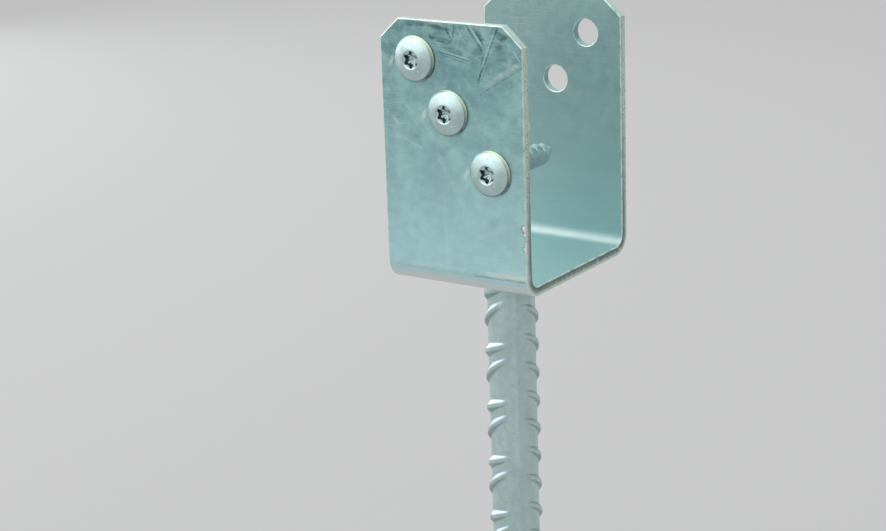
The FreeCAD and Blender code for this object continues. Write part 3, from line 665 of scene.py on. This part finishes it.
def recessRadius(angle):    # distance from the axis to the six-lobe outline
    lobe, flute = screw["lobe"], screw["flute"]
    lobeAt = screw["recessTip"] - lobe
    across = lobeAt * math.sin(math.pi / 6)
    fluteAt = lobeAt * math.cos(math.pi / 6) + math.sqrt((lobe + flute) ** 2 - across ** 2)
    off = abs(angle % (math.pi / 3) - math.pi / 6)    # from the nearest lobe; one points up
    # Which of the two circles the ray meets: the lobe's far side, or the flute's near side.
    inside = lobe ** 2 - (lobeAt * math.sin(off)) ** 2
    tip = lobeAt * math.cos(off) + math.sqrt(inside) if inside >= 0 else None
    toFlute = math.pi / 6 - off
    gap = flute ** 2 - (fluteAt * math.sin(toFlute)) ** 2
    if gap < 0:
        return tip
    touch = math.atan2(across * lobe / (lobe + flute), lobeAt)
    return tip if tip and off < touch * 0.8 else fluteAt * math.cos(toFlute) - math.sqrt(gap)


def makeScrewBlank():
    s = screw
    rise = s["headHeight"] - s["rim"]
    dome = (s["headRadius"] ** 2 + rise ** 2) / (2 * rise)
    count = s["around"]
    angles = [2 * math.pi * i / count for i in range(count)]
    outline = [recessRadius(a) for a in angles]
    rings = []    # each ring: a radius for every angle, and a height

    def domeHeight(radius):
        return s["headHeight"] - dome + math.sqrt(dome ** 2 - radius ** 2)

    def plain(radius, height):
        rings.append(([radius] * count, [height] * count))

    def lobed(share, more, height):
        rings.append(([r * share + more for r in outline], [height] * count))

    floor = s["headHeight"] - s["recessDepth"]
    for share, drop in ((0.30, 0.9), (0.62, 0.35), (0.90, 0.0)):
        lobed(share, 0, floor - drop)
    for part in (0.12, 0.45, 0.8):    # the walls open slightly
        lobed(0.95 + 0.05 * part, 0, floor + (s["recessDepth"] - 0.75) * part)
    mouth, dish = s["mouth"], s["dish"]
    land = domeHeight(mouth) - dish    # flat lands between the lobes, and a bevel round them
    lobed(0.995, 0, land - 0.1)
    lobed(1, 0.05, land - 0.02)
    rings.append(([max(r + 0.1, r + (mouth - dish - r) * 0.5) for r in outline], [land] * count))
    rings.append(([max(r + 0.12, mouth - dish - 0.04) for r in outline],
                  [land + max(0.0, r + 0.12 - mouth + dish) for r in outline]))
    for part in (0.12, 0.5, 0.88):
        plain(mouth - dish * (1 - part), land + dish * part)
    plain(mouth + 0.03, domeHeight(mouth + 0.03) - 0.02)
    for radius in (mouth + 0.15, 4.6, 5.4, 6.2, 7.0, 7.7, 8.1, s["domeEdge"]):
        plain(radius, domeHeight(radius))
    shoulder = domeHeight(s["domeEdge"])
    plain(s["domeEdge"] + 0.06, shoulder - 0.06)    # a crisp edge, then a steep rim
    plain(s["domeEdge"] + 0.14, shoulder - 0.2)
    for drawn, height in ((0.12, 0.62), (0, 0.5), (0.15, 0.2), (0.5, 0.0)):
        plain(s["headRadius"] - drawn, height)
    plain(s["collar"] + 0.25, 0.0)
    plain(s["collar"], -0.2)
    plain(s["collar"], -s["collarLong"] + 0.9)
    plain(s["neck"], -s["collarLong"] - 0.2)
    plain(s["neck"], -s["neckLong"])
    plain(s["coreWide"], -s["neckLong"] - 0.5)
    for share, above in ((1, 9), (0.72, 5), (0.36, 1.6)):    # and the point
        plain(s["coreWide"] * share, -s["long"] + above)
    plain(0.3, -s["long"] + 0.25)
    mesh = bmesh.new()
    grid = [[mesh.verts.new((radii[i] * math.cos(a), radii[i] * math.sin(a), heights[i]))
             for i, a in enumerate(angles)] for radii, heights in rings]
    for upper, lower in zip(grid, grid[1:]):
        for i in range(count):
            mesh.faces.new((upper[i], upper[(i + 1) % count], lower[(i + 1) % count], lower[i]))
    bottom = mesh.verts.new((0, 0, floor - 1.2))
    point = mesh.verts.new((0, 0, -s["long"]))
    for i in range(count):
        mesh.faces.new((bottom, grid[0][(i + 1) % count], grid[0][i]))
        mesh.faces.new((grid[-1][i], grid[-1][(i + 1) % count], point))
    bmesh.ops.recalc_face_normals(mesh, faces=mesh.faces)
    data = bpy.data.meshes.new("screwBlank")
    mesh.to_mesh(data)
    mesh.free()
    return data


def makeScrews(material):
    s = screw
    seats = [f"seat{index}" for index in range(len(bracket["holes"]))]
    inputs = {"pitch": s["pitch"], "threadHeight": s["threadHigh"], "threadFoot": s["threadFoot"],
              "coreRadius": s["coreWide"], "material": material}
    for seat, (x, z) in zip(seats, bracket["holes"]):
        inputs[seat] = (x, -bracket["outer"], z)
    t = Tree("threadedScrews", inputs)
    long = s["threadEnd"] - s["neckLong"] - 1.0
    core, high, foot = t.given("coreRadius"), t.given("threadHeight"), t.given("threadFoot")
    helix = t.add("GeometryNodeCurveSpiral", inputs={
        "Resolution": 36, "Rotations": t.given("pitch") ** -1 * long, "Start Radius": core,
        "End Radius": core, "Height": long})
    along = t.add("GeometryNodeSplineParameter")
    # The thread runs out at the neck, and comes to the axis with the point.
    size = along.ramp(0.0, 0.06, 0.15, 1.0) * along.ramp(0.86, 1.0, 1.0, 0.2)
    helix = t.add("GeometryNodeSetCurveRadius", inputs={0: helix, "Radius": size})
    draw = along.ramp(0.80, 1.0, 1.0, 0.45)
    pinched = t.add("VectorMath", {"operation": "MULTIPLY"}, {
        0: t.add("GeometryNodeInputPosition"),
        1: t.add("CombineXYZ", inputs={0: draw, 1: draw, 2: 1.0})})
    helix = t.add("GeometryNodeSetPosition", inputs={0: helix, "Position": pinched})
    helix = t.add("GeometryNodeSetCurveNormal", {"mode": "Z_UP"}, {0: helix})
    corners = ((-high, 0.0), (foot * 0.25, foot * -0.5), (foot * 0.25, foot * 0.5), (-high, 0.05))
    profile = t.add("GeometryNodeCurvePrimitiveQuadrilateral", {"mode": "POINTS"}, {
        f"Point {number}": t.add("CombineXYZ", inputs={0: across, 1: lift})
        for number, (across, lift) in enumerate(corners, 1)})
    thread = t.add("GeometryNodeCurveToMesh", inputs={
        "Curve": helix, "Profile Curve": profile, "Fill Caps": True, "Scale": size})
    thread = t.add("GeometryNodeTransform", inputs={
        "Geometry": thread, "Rotation": (math.pi, 0, 0), "Translation": (0, 0, -s["neckLong"] - 0.5)})
    whole = t.add("GeometryNodeJoinGeometry", inputs={0: [t.given("Geometry"), thread]})
    points = [t.add("GeometryNodePoints", inputs={"Count": 1, "Position": t.given(seat)})
              for seat in seats]
    placed = t.add("GeometryNodeInstanceOnPoints", inputs={
        "Points": t.add("GeometryNodeJoinGeometry", inputs={0: points}), "Instance": whole,
        "Rotation": (math.pi / 2, 0, 0)})
    t.close(t.add("GeometryNodeTransform", inputs={"Geometry": placed, "Scale": (mm, mm, mm)}))
    mesh = t.run(makeScrewBlank())
    keepPiece("panHeadScrews", mesh, material,
              ["top_screw", "middle_screw", "low_screw"])


studio = {
    "floorColour": 0.68, "floorDrop": 0.2, "floorReach": 6.0,    # the drop in mm, the reach in metres
    "backdrop": 0.604, "evenness": 0.55,    # the floor's even grey, and its share where it is seen
    "horizon": 0.62, "zenith": 1.15, "skyLight": 0.62, "leftward": 1.03, "rightward": 0.42,
    "frontward": 1.35,
    "camera": (0.44621, -0.70533, 0.24385), "aim": (73.4837, 1.8404, 33.6586), "lens": 86.593,
    "lamps": (    # name, azimuth, elevation, distance, size, power, colour
        ("keySoftbox", -50, 50, 1.5, 1.7, 3.8, (1.0, 1.0, 1.0)),
        ("sideSoftbox", -105, 20, 1.6, 1.4, 10.0, (0.94, 0.98, 1.0)),
    ),
}


def seenRays(f):    # 1 where the camera looks, directly or by reflection
    rays = f.add("LightPath").socket.node
    direct, glossy, through = (Wire(f, rays.outputs[name]) for name in (
        "Is Camera Ray", "Is Glossy Ray", "Is Transmission Ray"))
    return (direct + glossy + through).calc("MINIMUM", 1)


def makeFloor():
    s = studio
    reach, level = s["floorReach"], cadBox[0][2] - s["floorDrop"] * mm
    mesh = bpy.data.meshes.new("studioFloor")
    mesh.from_pydata([(-reach, -reach, level), (reach, -reach, level), (reach, reach, level),
                      (-reach, reach, level)], [], [(0, 1, 2, 3)])
    floor = bpy.data.objects.new("studioFloor", mesh)
    bpy.context.scene.collection.objects.link(floor)
    f = Finish(bpy.data.materials.new("studioFloor"))
    paint = f.add("BsdfDiffuse", inputs={"Color": (s["floorColour"],) * 3 + (1,)})
    plain = f.add("Emission", inputs={"Color": (s["backdrop"],) * 3 + (1,)})
    seen = seenRays(f) * s["evenness"]    # the floor looks evenly lit, and still keeps a shadow
    paint = f.add("MixShader", inputs={0: seen, 1: paint, 2: plain})
    under = f.add("NewGeometry", out="Backfacing")
    whole = f.add("MixShader", inputs={0: under, 1: paint, 2: f.add("BsdfTransparent")})
    f.add("OutputMaterial", inputs={"Surface": whole})
    mesh.materials.append(f.owner)


def makeSky():
    s = studio
    world = bpy.data.worlds.new("studio")
    bpy.context.scene.world = world
    w = Finish(world)
    seen = seenRays(w)
    right, behind, height = w.split(w.add("TexCoord", out="Generated"))
    back = height.ramp(-0.05, 0.55, s["horizon"], s["zenith"])
    back = back * right.ramp(-0.2, 1.0, s["leftward"], s["rightward"])
    back = back * behind.ramp(-0.6, 0.2, s["frontward"], 1)
    strength = seen * back + (1 - seen) * s["skyLight"]
    sky = w.add("Background", inputs={"Color": (1, 1, 1, 1), "Strength": strength})
    w.add("OutputWorld", inputs={"Surface": sky})


def makeStudio():
    s = studio
    makeFloor()
    makeSky()
    for name, azimuth, elevation, distance, size, power, colour in s["lamps"]:
        lamp = bpy.data.lights.new(name, "AREA")
        lamp.size, lamp.energy, lamp.color = size, power, colour
        holder = bpy.data.objects.new(name, lamp)
        a, e = math.radians(azimuth), math.radians(elevation)
        toward = Vector((math.sin(a) * math.cos(e), -math.cos(a) * math.cos(e), math.sin(e)))
        holder.location = toward * distance
        holder.rotation_euler = toward.to_track_quat("Z", "Y").to_euler()
        bpy.context.scene.collection.objects.link(holder)

    camera = bpy.data.cameras.new("camera")
    camera.lens, camera.sensor_width, camera.clip_start = s["lens"], 36, 0.01
    view = bpy.data.objects.new("camera", camera)
    view.location = s["camera"]
    view.rotation_euler = [math.radians(a) for a in s["aim"]]
    bpy.context.scene.collection.objects.link(view)
    bpy.context.scene.camera = view
    bpy.context.scene.view_settings.view_transform = "Standard"


makeBracket(makeSheetFinish())
barFinish = makeBarFinish()
makeBar(barFinish)
makeWeld(barFinish)
makeScrews(makeScrewFinish())
makeStudio()
print("studio set")
